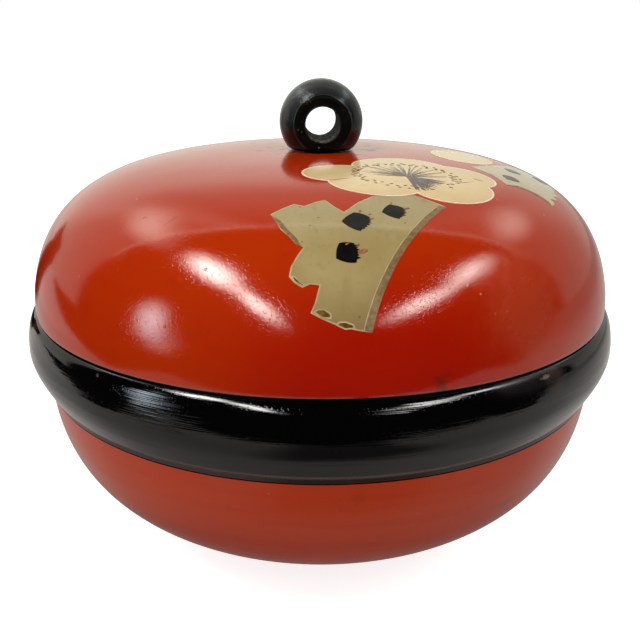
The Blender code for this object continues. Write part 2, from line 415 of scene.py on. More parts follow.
LID_BOTTOM = RING_TOP + FIT
LID_HEIGHT = 0.0505
LID_TOP = LID_BOTTOM + LID_HEIGHT
LID_CROWN = 0.008
CROWN_FLAT = 0.0117018
DOME_LEAN = 0.0029
DOME_DROP = 0.0082
DOME_WIDE = 0.069
MOUTH_HEIGHT = 0.0065
MOUTH_EDGE = 0.0008
TURNED_IN = 0.0004
TURNED_UP_TO = 0.009
EDGE_ROUND = 0.0006
PEG_HOLE = 0.0043
PEG_DEPTH = 0.0051


def scored_line(finish, start, end):
    """A straight scratch in the lid between two points on it."""
    start, end = Vector(start), Vector(end)
    middle = (start + end) / 2
    across = (end - start).cross(middle - Vector((0, 0, LID_BOTTOM))).normalized()
    inputs = {0: finish.place(), 1: across}
    aside = finish.add("ShaderNodeVectorMath", {"operation": "DOT_PRODUCT"}, inputs, output="Value")
    half = (end - start).length / 2
    line = (aside - start.dot(across)).size().ramp(0.00022, 0.00006)
    return line * finish.far_from(middle).ramp(half, half * 0.8)


def gloss_red():
    finish = Finish(bpy.data.materials.new("lid_red"))
    normal, _, nib = lacquer_skin(finish, 0.00024, 0.0000085)
    # Red with a painted shade low at the front, and rubbed pale along the lower edge, partly as a painted
    # highlight.
    right, away, height = finish.axes()
    cloud = finish.noise(16.0, detail=4.0)
    mottle = finish.noise(120.0, detail=3.0)
    colour = finish.blend(cloud, (0.42, 0.018, 0.0005), (0.46, 0.031, 0.0009))
    colour = finish.blend(mottle.ramp(0.5, 0.8) * 0.3, colour, (0.36, 0.008, 0.001))
    low_front_shade = finish.far_from((0.012, -0.100, 0.095), 1.6).ramp(0.062, 0.016)
    colour = finish.blend(low_front_shade * 0.8, colour, (0.37, 0.003, 0.0006))
    # Rubbed pale along the lower edge: part wear, part a painted highlight of the light the edge catches.
    rubbed = height.ramp(LID_BOTTOM + 0.0013, LID_BOTTOM + 0.0004)
    rubbed = rubbed * finish.noise(180.0, detail=4.0).ramp(0.28, 0.52)
    colour = finish.blend(rubbed * 0.55, colour, (0.39, 0.10, 0.055))
    # Hair scratches, pits and dried dust.
    scratch = finish.noise(1.0, detail=2.0, vector=finish.stretch((420.0, 30.0, 160.0)))
    hair = (scratch - 0.5).size().ramp(0.0035, 0.0008) * finish.noise(26.0).ramp(0.60, 0.72)
    pits, which = finish.grains(95.0)
    pit = pits.ramp(0.055, 0.02) * which.above(0.90)
    colour = finish.blend(hair * 0.35, colour, (0.50, 0.13, 0.07))
    colour = finish.blend(pit * 0.8, colour, (0.07, 0.012, 0.006))
    colour = finish.blend(nib * 0.5, colour, (0.55, 0.17, 0.08))
    # A wiped place on the right, its haze lightened as a painted sheen, grime by the ring, dust round the
    # knob and one long scratch.
    smear = finish.noise(1.0, detail=4.0, vector=finish.stretch((30.0, 60.0, 90.0))).ramp(0.55, 0.75)
    ragged = finish.noise(260.0, detail=4.0)
    wipe_and_sheen = (finish.far_from((0.052, -0.082, 0.108)) + ragged * 0.014).ramp(0.028, 0.012)
    grime = (finish.far_from((0.0265, -0.0985, 0.0938)) + ragged * 0.010).ramp(0.0085, 0.0050)
    grime_right = (finish.far_from((0.0828, -0.0594, 0.0920)) + ragged * 0.010).ramp(0.0085, 0.0050)
    colour = finish.blend((grime + grime_right) * 0.7, colour, (0.10, 0.012, 0.006))
    colour = finish.blend(wipe_and_sheen * 0.5, colour, (0.45, 0.046, 0.012))
    crown = (right * right + away * away) ** 0.5
    dust = crown.ramp(0.034, 0.016) * finish.noise(190.0, detail=4.0, rough=0.6).ramp(0.54, 0.66)
    colour = finish.blend(dust * 0.32, colour, (0.10, 0.055, 0.050))
    scored = scored_line(finish, (-0.0480, -0.0671, 0.1289), (-0.0437, -0.0646, 0.1315))
    colour = finish.blend(scored * 0.8, colour, (0.12, 0.014, 0.006))
    roughness = 0.085 + cloud * 0.02 + hair * 0.12 + smear * 0.04 + wipe_and_sheen * 0.20 + dust * 0.15
    return finish.coat(colour, roughness, normal, (1.0, 0.985, 0.92))


hollow_top = LID_HEIGHT - LID_CROWN
lid_hollow = curve(
    (0, hollow_top),
    (DOME_WIDE, hollow_top),
    (LID_INNER - DOME_LEAN, hollow_top - 0.003),
    (LID_INNER, MOUTH_HEIGHT),
    72,
)
lid_mouth = [(LID_INNER, MOUTH_EDGE), (LID_INNER + MOUTH_EDGE, 0)]
lid_edge = arc((LID_RADIUS - TURNED_IN - EDGE_ROUND, EDGE_ROUND), (EDGE_ROUND, EDGE_ROUND), 270, 360, 10)
dome = curve(
    (LID_RADIUS, EDGE_ROUND),
    (LID_RADIUS - DOME_LEAN, LID_HEIGHT - DOME_DROP),
    (DOME_WIDE, LID_HEIGHT),
    (CROWN_FLAT, LID_HEIGHT),
    120,
)
for step, (radius, height) in enumerate(dome):
    dome[step] = (radius - TURNED_IN * max(0, 1 - (height - EDGE_ROUND) / TURNED_UP_TO) ** 2, height)
socket_floor = LID_HEIGHT - PEG_DEPTH
socket = [(PEG_HOLE, LID_HEIGHT), (PEG_HOLE, socket_floor), (0, socket_floor)]
bm = turned(lid_hollow + lid_mouth + lid_edge + dome[1:] + socket, centre=(0, 0, LID_BOTTOM))
for face in bm.faces:
    middle = face.calc_center_median()
    inward = middle.x * face.normal.x + middle.y * face.normal.y < 0
    below = face.normal.z < -0.2 or middle.z < LID_BOTTOM + 0.0001
    face.material_index = 1 if inward or below else 0
lid = set_in_place("lid_dome", bm, "lid", [gloss_red(), bpy.data.materials["inside_black"]])
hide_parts("lid_shell")


# The knob is a turned wooden bead with a wide eye, cut flat below, rounded there and stuck on the crown.
# It is lacquered black all over, and fingers have worn it grey and brown on its upper left side.
# The lacquer ran thin inside the eye, where the wood is rough.

KNOB_RADIUS = 0.0146
KNOB_FACE = 0.0111
KNOB_SEAT = 0.0094
KNOB_HOLE = 0.0023
SEAT_ROUND = 0.003
EYE_RADIUS = 0.0058
EYE_ROUND = 0.0007
KNOB_CENTRE = LID_TOP + FIT + KNOB_SEAT


def knob_black():
    finish = Finish(bpy.data.materials.new("knob_black"))
    slow = finish.noise(120.0, detail=2.0)
    fine = finish.noise(1900.0, detail=3.0)
    dents, which = finish.grains(420.0)
    dent = dents.ramp(0.42, 0.10) * which.above(0.72)
    right, _, height = finish.axes()
    up = height - KNOB_CENTRE
    radius = (right * right + up * up) ** 0.5
    in_eye = radius.ramp(EYE_RADIUS + EYE_ROUND, EYE_RADIUS + 0.0001)
    # A place worn by fingers at the upper left, and a painted grey sheen over the upper side.
    worn_place = finish.far_from((-0.0056, -0.0100, KNOB_CENTRE + 0.0090)).ramp(0.0062, 0.0010)
    worn = (worn_place * 0.34 + finish.noise(900.0, detail=4.0, rough=0.65) - 0.5).ramp(0.32, 0.40)
    cloud = finish.noise(210.0, detail=4.0)
    colour = finish.blend(cloud, (0.0012, 0.0011, 0.0011), (0.0036, 0.0033, 0.0034))
    upper_sheen = (up - right * 0.6).ramp(0.001, 0.014) * radius.ramp(0.0096, 0.0106)
    colour = finish.blend(upper_sheen * 0.8, colour, (0.032, 0.032, 0.033))
    colour = finish.blend(worn * 0.6, colour, (0.17, 0.155, 0.135))
    # Bare wood in the eye, and crumbs on the flat face below it.
    coarse = finish.noise(1.0, detail=4.0, rough=0.6, vector=finish.stretch((900.0, 380.0, 900.0)))
    bare = in_eye * coarse.ramp(0.46, 0.62) * up.ramp(0.001, -0.005)
    colour = finish.blend(bare * 0.9, colour, (0.17, 0.145, 0.115))
    crumbs, which = finish.grains(850.0)
    on_face = radius.ramp(0.0108, 0.0098) * up.ramp(0.004, -0.003)
    crumb = crumbs.ramp(0.24, 0.08) * which.above(0.86) * on_face
    colour = finish.blend(crumb * 0.7, colour, (0.15, 0.13, 0.11))
    normal = finish.bump(slow, 0.00030)
    normal = finish.bump(dent + crumb, 0.00009, normal)
    normal = finish.bump(fine, 0.000006, normal)
    normal = finish.bump(coarse * in_eye, 0.00045, normal)
    roughness = 0.19 + cloud * 0.10 + worn * 0.25 + in_eye * 0.60
    return finish.coat(colour, roughness, normal, (0.60, 0.78, 0.85))


half_angle = math.degrees(math.asin(KNOB_FACE / KNOB_RADIUS)) - 2
ball = arc((0, 0), (KNOB_RADIUS, KNOB_RADIUS), -half_angle, half_angle, 40)
face_edge = curve((0.00982, 0.01096), (0.00956, 0.01117), (0.00926, 0.01112), (0.00896, 0.01104), 8)
face_edge += [(0.0085, 0.01100), (0.0077, 0.01098), (0.0070, 0.01096)]
eye_edge = arc((EYE_RADIUS + EYE_ROUND, 0.01022), (EYE_ROUND, EYE_ROUND), 90, 180, 6)
eye = [(EYE_RADIUS, 0.0018 * share) for share in range(5, -6, -1)]
near_side = face_edge + eye_edge
far_side = [(radius, -along) for radius, along in reversed(near_side)]
bm = turned(far_side + ball + near_side + eye, axis="Y", steps=160)
seat_drop = KNOB_SEAT - SEAT_ROUND
seat_flat = math.sqrt((KNOB_RADIUS - SEAT_ROUND) ** 2 - seat_drop ** 2)
seat_angle = math.degrees(math.asin(seat_drop / (KNOB_RADIUS - SEAT_ROUND)))
seat_steps = arc((seat_flat, -seat_drop), (SEAT_ROUND, SEAT_ROUND), -seat_angle, -90, 7)
seat_steps += [(PEG_HOLE, -KNOB_SEAT), (PEG_HOLE, -KNOB_SEAT + KNOB_HOLE)]
geometry = bm.verts[:] + bm.edges[:] + bm.faces[:]
cut = bmesh.ops.bisect_plane(
    bm,
    geom=geometry,
    dist=0.000001,
    plane_co=(0, 0, seat_steps[0][1]),
    plane_no=(0, 0, -1),
    clear_outer=True,
)
rim = [item for item in cut["geom_cut"] if isinstance(item, bmesh.types.BMEdge)]
seat = bmesh.ops.contextual_create(bm, geom=rim)["faces"]
for before, after in zip(seat_steps, seat_steps[1:]):
    drawn = bmesh.ops.extrude_face_region(bm, geom=seat)["geom"]
    bmesh.ops.delete(bm, geom=seat, context="FACES_ONLY")
    seat = [item for item in drawn if isinstance(item, bmesh.types.BMFace)]
    corners = [item for item in drawn if isinstance(item, bmesh.types.BMVert)]
    narrower = after[0] / before[0]
    bmesh.ops.scale(bm, verts=corners, vec=(narrower, narrower, 1))
    bmesh.ops.translate(bm, verts=corners, vec=(0, 0, after[1] - before[1]))
bmesh.ops.recalc_face_normals(bm, faces=bm.faces)
bmesh.ops.translate(bm, verts=bm.verts, vec=(0, 0, KNOB_CENTRE))
knob = set_in_place("knob_bead", bm, "lid", [knob_black()])
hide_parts("lid_knob")


# A short turned peg joins knob and lid, glued into a hole in each, and stays bare wood.
# None of it shows while the two are together, so its own solid is kept and only its finish is new.


def peg_wood():
    finish = Finish(bpy.data.materials.new("peg_bare_wood"))
    grain = finish.noise(1.0, detail=5.0, vector=finish.stretch((900.0, 900.0, 90.0)))
    pore = finish.noise(1.0, detail=3.0, vector=finish.stretch((4200.0, 4200.0, 260.0)))
    colour = finish.blend(grain, (0.34, 0.20, 0.095), (0.52, 0.35, 0.19))
    colour = finish.blend(pore.ramp(0.60, 0.72) * 0.6, colour, (0.20, 0.11, 0.05))
    return finish.coat(colour, 0.62 + pore * 0.2, finish.bump(pore, 0.00004))


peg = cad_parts["knob_peg"]
peg.data.materials.clear()
peg.data.materials.append(peg_wood())


# The plum is painted on the finished lid in opaque lacquer, layer on layer, and stands a hair proud of it.
# An old trunk in khaki comes up the front of the lid, and a second one lies over its right shoulder.
# Dark edges give the trunks their round, and square dabs of black stand for moss.

PAINT = 0.00006
SUNK = 0.00004
CELL = 0.0025
PALE_RIM = 0.0004
lid_run = [(0, LID_HEIGHT)] + list(reversed(dome)) + list(reversed(lid_edge))
run_length = [0.0]
for before, after in zip(lid_run, lid_run[1:]):
    run_length.append(run_length[-1] + math.dist(before, after))


def on_lid(flat):
    """Lay a point of the flat drawing on the lid: X and Y run from the crown down its side, Z off it."""
    run = math.hypot(flat.x, flat.y)
    step = min(max(bisect.bisect_right(run_length, run), 1), len(lid_run) - 1)
    before, after = Vector(lid_run[step - 1]), Vector(lid_run[step])
    along = (after - before).normalized()
    off = Vector((-along.y, along.x))
    radius, height = before + along * (run - run_length[step - 1]) + off * flat.z
    share = radius / run if run else 0
    return Vector((flat.x * share, flat.y * share, height + LID_BOTTOM))


def painted(bm, outline, level, rim=0.0, inner=0, outer=0):
    """Add a closed dab of paint so many layers high, its outline in millimetres and its rim in metres."""
    flat = bmesh.new()
    face = flat.faces.new([flat.verts.new((u / 1000, v / 1000, 0)) for u, v in outline])
    face.normal_update()
    if face.normal.z < 0:
        face.normal_flip()
    face.material_index = inner
    if rim:
        inset = {"thickness": rim, "use_boundary": True, "use_even_offset": True}
        edge = bmesh.ops.inset_region(flat, faces=[face], **inset)
        for strip in edge["faces"]:
            strip.material_index = outer
    for axis in (0, 1):
        low = min(vert.co[axis] for vert in flat.verts)
        high = max(vert.co[axis] for vert in flat.verts)
        count = int((high - low) / CELL)
        for step in range(1, count + 1):
            middle = Vector((0, 0, 0))
            middle[axis] = low + (high - low) * step / (count + 1)
            normal = Vector((0, 0, 0))
            normal[axis] = 1
            geometry = flat.verts[:] + flat.edges[:] + flat.faces[:]
            bmesh.ops.bisect_plane(flat, geom=geometry, dist=0.0000001, plane_co=middle, plane_no=normal)
    bmesh.ops.triangulate(flat, faces=flat.faces)
    bmesh.ops.translate(flat, verts=flat.verts, vec=(0, 0, -SUNK))
    top = bmesh.ops.extrude_face_region(flat, geom=flat.faces[:])["geom"]
    raised = [item for item in top if isinstance(item, bmesh.types.BMVert)]
    bmesh.ops.translate(flat, verts=raised, vec=(0, 0, SUNK + PAINT * level))
    bmesh.ops.recalc_face_normals(flat, faces=flat.faces)
    for vert in flat.verts:
        vert.co = on_lid(vert.co)
    mesh = bpy.data.meshes.new("dab")
    flat.to_mesh(mesh)
    flat.free()
    bm.from_mesh(mesh)
    bpy.data.meshes.remove(mesh)


def khaki_paint(name, dark, light):
    finish = Finish(bpy.data.materials.new(name))
    height = finish.axes()[2]
    cloud = finish.noise(60.0, detail=4.0)
    brushed = finish.noise(1.0, detail=4.0, vector=finish.stretch((260.0, 90.0, 90.0)))
    speck, which = finish.grains(420.0)
    colour = finish.blend(cloud.ramp(0.3, 0.7), dark, light)
    # Painted shade darkens the khaki lower down the lid, and a painted reflection pales it near the crown.
    colour = finish.blend(height.ramp(0.124, 0.100) * 0.95, colour, (0.21, 0.130, 0.036))
    colour = finish.blend(height.ramp(0.126, 0.136) * 0.45, colour, (0.46, 0.385, 0.23))
    colour = finish.blend(brushed.ramp(0.55, 0.75) * 0.3, colour, (0.27, 0.18, 0.062))
    colour = finish.blend(speck.ramp(0.20, 0.08) * which.above(0.93) * 0.7, colour, (0.16, 0.09, 0.04))
    mottle = finish.noise(620.0, detail=4.0, rough=0.6)
    colour = finish.blend(mottle.ramp(0.52, 0.72) * 0.22, colour, (0.24, 0.16, 0.060))
    normal = finish.bump(brushed, 0.00004, finish.bump(cloud, 0.00012))
    return finish.coat(colour, 0.11 + cloud * 0.06, normal)


def bark_paint():
    finish = Finish(bpy.data.materials.new("trunk_bark"))
    height = finish.axes()[2]
    brushed = finish.noise(900.0, detail=5.0, rough=0.65)
    cloud = finish.noise(140.0, detail=4.0)
    colour = finish.blend(brushed.ramp(0.35, 0.65), (0.17, 0.100, 0.038), (0.27, 0.175, 0.075))
    colour = finish.blend(cloud.ramp(0.55, 0.75) * 0.4, colour, (0.31, 0.21, 0.095))
    # Painted shade darkens the bark lower down the lid.
    colour = finish.blend(height.ramp(0.110, 0.098) * 0.8, colour, (0.16, 0.070, 0.006))
    return finish.coat(colour, 0.24 + brushed * 0.1, finish.bump(brushed, 0.00004))


def pale_paint(name, dark, light):
    finish = Finish(bpy.data.materials.new(name))
    cloud = finish.noise(300.0, detail=4.0)
    colour = finish.blend(cloud.ramp(0.35, 0.7), dark, light)
    return finish.coat(colour, 0.24 + cloud * 0.08, finish.bump(cloud, 0.00003))


def brown_paint(name, dark, light, grain, roughness):
    finish = Finish(bpy.data.materials.new(name))
    cloud = finish.noise(grain, detail=3.0)
    colour = finish.blend(cloud.ramp(0.35, 0.7), dark, light)
    return finish.coat(colour, roughness + cloud * 0.1, finish.bump(cloud, 0.00003))


def moss_paint():
    finish = Finish(bpy.data.materials.new("moss_black"))
    cloud = finish.noise(330.0, detail=4.0)
    colour = finish.blend(cloud, (0.0025, 0.002, 0.0025), (0.007, 0.0055, 0.0055))
    return finish.coat(colour, 0.16 + cloud * 0.12, finish.bump(cloud, 0.00006))


def bowed(start, pull, end, steps):
    """Points of a bowed line from start towards end, end left out."""
    points = []
    for step in range(steps):
        share = step / steps
        points.append(part_way(part_way(start, pull, share), part_way(pull, end, share), share))
    return points


right_edge = bowed((32.6, -66.4), (12.9, -91.4), (8.9, -111.0), 14) + [(8.9, -111.0)]
trunk = right_edge + bowed((8.9, -111.0), (-1.0, -110.6), (-8.6, -105.8), 5)[1:]
trunk += [(-8.6, -105.8), (-7.2, -103.2), (-5.7, -98.6), (-8.2, -98.2), (-10.4, -99.0), (-12.4, -97.6)]
trunk += [(-13.9, -95.6), (-13.2, -92.8), (-11.4, -89.8), (-9.5, -87.0), (-11.6, -85.6), (-13.4, -82.6)]
trunk += [(-15.4, -79.8), (-16.6, -76.4), (-18.0, -72.8), (-14.8, -70.4), (-11.3, -68.3), (-8.5, -69.6)]
trunk += [(-5.4, -67.6), (-2.5, -66.4), (-0.2, -70.2), (2.4, -73.2), (6.8, -67.8), (11.8, -63.3)]
trunk += [(23.8, -61.4)]
bm = bmesh.new()
painted(bm, trunk, 1.0, rim=PALE_RIM, inner=0, outer=2)
inner_edge = bowed((30.4, -66.2), (10.9, -92.2), (6.6, -110.6), 14) + [(6.6, -110.6)]
painted(bm, right_edge + inner_edge[::-1], 1.4, inner=1)
light_edge = bowed((30.1, -66.2), (10.6, -92.2), (6.3, -110.6), 14) + [(6.3, -110.6)]
painted(bm, inner_edge + light_edge[::-1], 1.7, inner=2)
left_edge = [(-17.8, -73.2), (-15.2, -79.6), (-11.6, -85.4), (-9.9, -87.0)]
left_edge += [(-11.2, -83.6), (-13.4, -80.2), (-15.4, -76.0)]
painted(bm, left_edge, 1.4, inner=1)
knots = [[(-13.5, -95.4), (-12.6, -97.2), (-10.4, -98.8), (-9.3, -98.4), (-10.8, -97.2), (-12.2, -95.6)]]
knots += [[(-7.9, -105.6), (-5.4, -107.3), (-2.8, -107.6), (-2.7, -106.2), (-4.6, -104.9), (-6.6, -104.8)]]
knots += [[(-1.6, -109.2), (1.0, -110.4), (4.0, -110.2), (3.6, -109.0), (1.2, -108.2), (-0.8, -108.3)]]
for knot in knots:
    painted(bm, knot, 1.6, rim=PALE_RIM, inner=3, outer=2)
khaki = khaki_paint("trunk_khaki", (0.355, 0.262, 0.098), (0.415, 0.317, 0.132))
trunk_edge = pale_paint("trunk_edge", (0.40, 0.300, 0.150), (0.54, 0.42, 0.235))
bark = bark_paint()
umber = brown_paint("line_umber", (0.095, 0.042, 0.003), (0.21, 0.105, 0.010), 800.0, 0.20)
trunk_front = set_in_place("trunk_front", bm, "lid", [khaki, bark, trunk_edge, umber])

lower_edge = [(57.2, -39.2), (61.2, -38.5), (65.4, -38.8), (69.4, -40.6), (72.8, -43.1)]
side = [(48.4, -24.6), (54.2, -31.0)] + lower_edge
side += [(74.8, -39.6), (74.0, -36.8), (77.6, -34.2), (76.6, -31.6), (80.2, -29.4), (78.8, -24.8)]
side += [(82.4, -16.4), (77.0, -8.4), (72.0, -5.0), (66.4, -7.0), (60.6, -12.0), (54.6, -18.4)]
bm = bmesh.new()
painted(bm, side, 1.0, rim=PALE_RIM, inner=0, outer=2)
painted(bm, lower_edge + [(72.0, -40.6), (68.4, -38.4), (62.0, -36.9)], 1.4, inner=1)
# The second trunk takes a paler copy of the khaki, a painted reflection of the light on the lid's shoulder.
khaki = khaki_paint("trunk_khaki_painted_sheen", (0.55, 0.455, 0.262), (0.62, 0.525, 0.318))
trunk_side = set_in_place("trunk_side", bm, "lid", [khaki, bark, trunk_edge])


def turned_flat(points, centre, turn):
    """Points of a flat drawing turned by so many degrees and moved to their centre."""
    cos, sin = math.cos(math.radians(turn)), math.sin(math.radians(turn))
    return [(centre[0] + u * cos - v * sin, centre[1] + u * sin + v * cos) for u, v in points]


def dab(centre, across, along, turn, seed):
    """A dab that starts in a point on the left and leaves the brush in a frayed right side."""
    chance = random.Random(seed)
    points = bowed((-0.5, 0.0), (-0.30, 0.34), (-0.02, 0.50), 6)
    points += bowed((-0.02, 0.50), (0.20, 0.46), (0.40, 0.30), 4)
    fray = bowed((0.42, 0.28), (0.52, -0.10), (0.12, -0.46), 15)
    for step, (u, v) in enumerate(fray):
        out = chance.uniform(0.03, 0.12) if step % 2 else -0.02
        points.append((u + out, v - out * 0.4))
    points += bowed((0.08, -0.50), (-0.26, -0.40), (-0.5, 0.0), 7)
    return turned_flat([(u * across, v * along) for u, v in points], centre, turn)


def oval(centre, long, wide, turn, count=48):
    """Points of an oval with these half sizes, turned by so many degrees."""
    angles = [math.tau * step / count for step in range(count)]
    points = [(long * math.cos(angle), wide * math.sin(angle)) for angle in angles]
    return turned_flat(points, centre, turn)


def flake(centre, long, turn):
    """A small lens of paint."""
    return oval(centre, long, 0.45 * long, turn, 8)


bm = bmesh.new()
dabs = [
    ((5.6, -77.5), 8.3, 8.2, 2, 3),
    ((16.5, -72.0), 7.0, 7.2, 12, 5),
    ((2.3, -89.3), 7.2, 7.6, 30, 8),
    ((61.0, -30.2), 5.6, 6.4, 50, 11),
    ((65.2, -17.2), 5.2, 6.0, 56, 14),
    ((76.6, -14.6), 4.4, 5.8, 60, 17),
]
for placed in dabs:
    painted(bm, dab(*placed), 2.2)
flakes = [(6.9, -72.7, 0.7, 70), (9.5, -74.2, 0.55, 40), (16.2, -67.7, 0.7, 70), (20.6, -69.8, 0.9, 25)]
flakes += [(6.6, -88.8, 1.5, 25), (5.4, -86.8, 0.7, 60), (2.4, -86.4, 0.6, 30), (10.1, -76.0, 0.5, 10)]
for u, v, long, turn in flakes:
    painted(bm, flake((u, v), long, turn), 2.4, inner=1)
flaked = brown_paint("flake_brown", (0.26, 0.085, 0.030), (0.46, 0.17, 0.075), 700.0, 0.30)
moss = set_in_place("trunk_moss", bm, "lid", [moss_paint(), flaked])


# One wide open plum blossom lies across the crown behind the trunk, with a round bud beside it.
# Its petals are dabs of cream lacquer laid one over another, with a paler line round them all, partly a
# painted highlight.
# Fine ink lines run out from the heart as stamens, and each ends in a small dark dot.


def cream_paint():
    finish = Finish(bpy.data.materials.new("petal_cream"))
    cloud = finish.noise(75.0, detail=4.0)
    brushed = finish.noise(1.0, detail=4.0, vector=finish.stretch((120.0, 420.0, 120.0)))
    speck, which = finish.grains(520.0)
    colour = finish.blend(cloud.ramp(0.3, 0.7), (0.72, 0.525, 0.250), (0.79, 0.600, 0.310))
    colour = finish.blend(brushed.ramp(0.55, 0.8) * 0.35, colour, (0.58, 0.39, 0.18))
    colour = finish.blend(speck.ramp(0.18, 0.06) * which.above(0.95) * 0.6, colour, (0.28, 0.17, 0.08))
    return finish.coat(colour, 0.13 + cloud * 0.06, finish.bump(brushed, 0.00003))


def ink_paint(name, dark, light):
    finish = Finish(bpy.data.materials.new(name))
    cloud = finish.noise(900.0, detail=3.0)
    colour = finish.blend(cloud.ramp(0.35, 0.7), dark, light)
    return finish.coat(colour, 0.25 + cloud * 0.1)


bm = bmesh.new()
petal_places = [
    ((3.4, -43.0), 11.8, 9.6, 4),
    ((24.0, -34.2), 16.2, 13.8, -6),
    ((40.2, -38.6), 13.4, 9.8, -12),
    ((13.6, -52.4), 14.6, 10.6, -8),
    ((37.0, -52.6), 14.0, 10.0, 25),
]
for step, (centre, long, wide, turn) in enumerate(petal_places):
    painted(bm, oval(centre, long, wide, turn), 1.5 + 0.06 * step, inner=1)
    painted(bm, oval(centre, long - 0.6, wide - 0.6, turn), 2.0 + 0.2 * step)
painted(bm, oval((23.6, -45.6), 14.0, 11.0, 0), 3.0)
veins = [((-0.3, -51.7), (5.6, -49.7)), ((38.4, -48.0), (45.4, -43.9)), ((45.8, -40.5), (48.6, -41.7))]
for start, end in veins:
    middle = part_way(start, end, 0.5)
    under = [(middle[0], middle[1] - 0.35), (start[0], start[1] - 0.14)]
    painted(bm, [start, middle, end] + under, 3.3, inner=2)
# The pale rim is partly paint and partly a painted highlight on the raised petal edges.
petal_edge = pale_paint("petal_edge", (0.90, 0.70, 0.46), (0.97, 0.80, 0.58))
cream = cream_paint()
petals = set_in_place("blossom_petals", bm, "lid", [cream, petal_edge, umber])

HEART = (23.9, -46.2)
chance = random.Random(21)


def stamen(angle, root, reach, wide):
    """A fine line from near the heart outwards, thinner at its tip."""
    line = [(root, wide), (reach * 0.7, wide * 0.8), (reach, wide * 0.3)]
    line += [(along, -half) for along, half in reversed(line)]
    return turned_flat(line, HEART, angle)


bm = bmesh.new()
for step in range(30):
    angle = 12 + 166 * step / 29 + chance.uniform(-3, 3)
    root, reach, wide = chance.uniform(0.2, 2.5), chance.uniform(9.0, 14.6), chance.uniform(0.12, 0.22)
    painted(bm, stamen(angle, root, reach, wide), 3.5)
for step in range(14):
    angle = chance.uniform(100, 172)
    root, reach, wide = chance.uniform(0.0, 1.5), chance.uniform(3.6, 6.6), chance.uniform(0.22, 0.40)
    painted(bm, stamen(angle, root, reach, wide), 3.5)
for step in range(58):
    angle = chance.uniform(-86, -4)
    reach = chance.uniform(7.6, 11.0) + 1.6 * abs(angle + 40) / 44
    root, wide = chance.uniform(0.0, 3.5), chance.uniform(0.20, 0.40)
    painted(bm, stamen(angle, root, reach, wide), 3.6)
anthers = [(178, 22, 12), (142, 14, 5), (112, 16, 6), (85, 12, 5), (60, 12, 5), (35, 12, 6)]
anthers += [(-3, 17, 11), (-37, 8, 3), (205, 9, 4), (227, 11, 5), (252, 11, 5), (281, 15, 8)]
for middle, spread, count in anthers:
    for step in range(count):
        angle = math.radians(middle + spread * (2 * (step + 0.5) / count - 1) + chance.uniform(-2, 2))
        out = 1 + (0.11, -0.03, 0.04)[step % 3] + chance.uniform(-0.025, 0.025)
        centre = (23.9 + 15.0 * out * math.cos(angle), -43.3 + 11.9 * out * math.sin(angle))
        painted(bm, flake(centre, chance.uniform(0.48, 0.72), chance.uniform(-30, 30)), 3.8, inner=1)
inks = [
    ink_paint("stamen_grey", (0.085, 0.070, 0.060), (0.16, 0.135, 0.11)),
    ink_paint("anther_brown", (0.070, 0.036, 0.014), (0.15, 0.085, 0.040)),
]
stamens = set_in_place("blossom_stamens", bm, "lid", inks)

bm = bmesh.new()
painted(bm, oval((49.6, -5.2), 13.6, 10.9, 88), 1.8, rim=0.0006, outer=1)
bud = set_in_place("bud_petal", bm, "lid", [cream, petal_edge])


# The bowl stands on a white table in a small studio: a white wall behind it, darkness round the camera.
# What the lacquer mirrors is drawn on the table and in the world: edges, wall, doorway and soft lights.
# The lamps give only light that isn't mirrored, two from the left and two from the right.

CAMERA_TURN = -3.2
CAMERA_ROLL = 0.3
CAMERA_PLACE = (-0.0163, -0.2916, 0.1806)
CAMERA_AIM = (0, 0, 0.0766)
studio = Matrix.Rotation(math.radians(CAMERA_TURN), 4, "Z")


